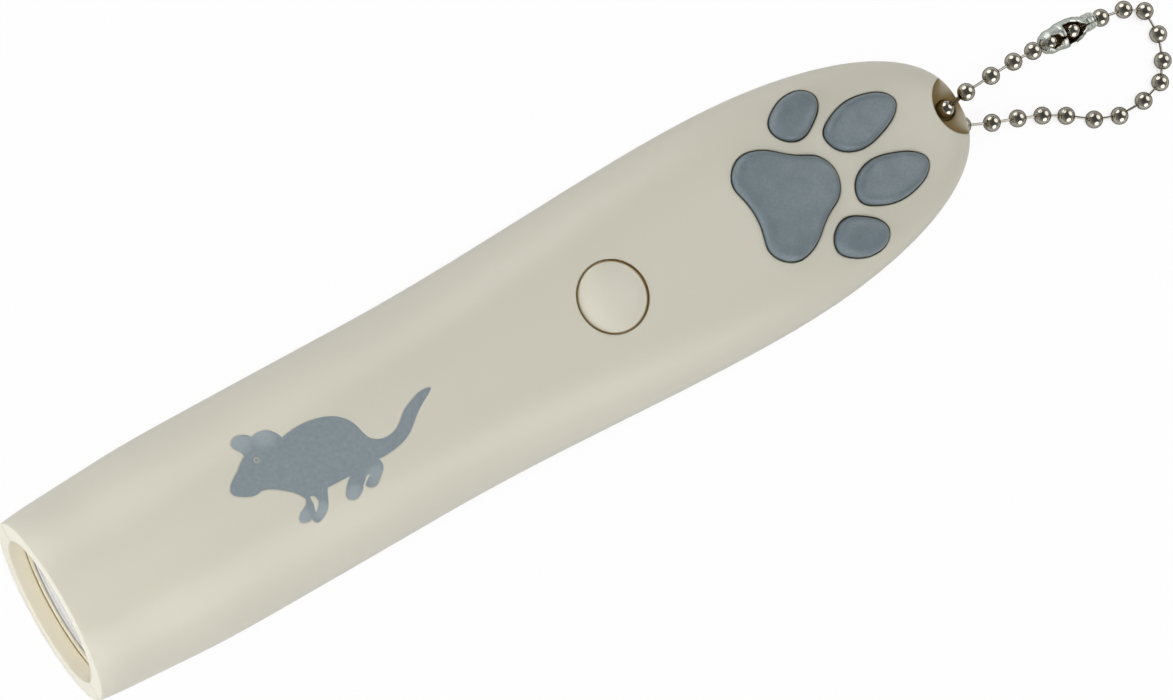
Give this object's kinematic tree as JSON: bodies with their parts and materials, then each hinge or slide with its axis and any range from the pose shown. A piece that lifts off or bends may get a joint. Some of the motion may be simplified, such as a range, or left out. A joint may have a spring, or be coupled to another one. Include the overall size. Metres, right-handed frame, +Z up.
{
  "type": "led cat pointer toy",
  "caption": "Hand-held light pointer toy for cats: long rounded cream body with a round mouth and lens, push button, grey soft paw grip, inlaid mouse figure and bead chain.",
  "frame": {"origin": "centre of the whole part's footprint, chain loop included, on the plane the belly lies on", "axes": "+X from the mouth towards the tail and chain, +Z up out of the side with the button and the paw grip"},
  "size_m": [0.1686, 0.0304, 0.0259],
  "materials": {
    "cream_shell": "smooth moulded, satin gloss",
    "cream_cap": "smooth moulded, satin gloss",
    "soft_grey": "matte soft touch",
    "inlay_grey": "matte",
    "chain_nickel": "bright plated",
    "zinc_steel": "zinc plated",
    "contact_nickel": "nickel plated",
    "mask_steel": "etched sheet",
    "black_plastic": "fine matte texture",
    "white_plastic": "fine matte texture",
    "board_green": "solder mask",
    "resistor_blue": "lacquered",
    "wire_sleeve": "soft sleeve",
    "cell_sleeve": "gloss sleeve",
    "lamp_clear": "clear resin",
    "lens_clear": "clear polished"
  },
  "bodies": {
    "body": {"upper_shell": "cream_shell", "lower_shell": "cream_shell", "case_screws": "zinc_steel", "switch_body": "black_plastic", "circuit_board": "board_green", "resistor": "resistor_blue", "lamp_wires": "wire_sleeve", "lamp": "lamp_clear", "lamp_holder": "white_plastic", "picture_mask": "mask_steel", "projector_tube": "white_plastic", "lens": "lens_clear", "lens_ring": "cream_shell", "battery_box": "white_plastic", "cell_left": "cell_sleeve", "cell_right": "cell_sleeve", "bridge_contact": "contact_nickel", "terminal_contacts": "contact_nickel", "contact_springs": "contact_nickel", "paw_insert": "soft_grey", "mouse_inlay": "inlay_grey"},
    "button": {"push_button": "cream_cap", "switch_plunger": "black_plastic"},
    "cover": {"battery_cover": "cream_shell", "cover_screw": "zinc_steel"},
    "chain_root": {"chain_root_beads": "chain_nickel", "chain_root_links": "chain_nickel"},
    "chain_loop": {"chain_beads": "chain_nickel", "chain_links": "chain_nickel", "chain_clasp": "chain_nickel"}
  },
  "joints": [
    {"name": "button_press", "type": "slide", "parent": "body", "child": "button", "axis": [0, 0, -1], "range_m": [0, 0.0004], "stiffness_N_per_m": 2000, "springref_m": -0.0002},
    {"name": "cover_release", "type": "slide", "parent": "body", "child": "cover", "axis": [0, 0, -1], "range_m": [0, 0.015]},
    {"name": "chain_turn", "type": "hinge", "parent": "body", "child": "chain_root", "pos_m": [0.051, 0, 0.007], "axis": [0, 0, 1], "range_deg": [-15, 15]},
    {"name": "chain_lift", "type": "hinge", "parent": "chain_root", "child": "chain_loop", "pos_m": [0.0544, 0.00076, 0.00885], "axis": [-0.211, -0.5852, -0.783], "range_deg": [0, 75]}
  ]
}
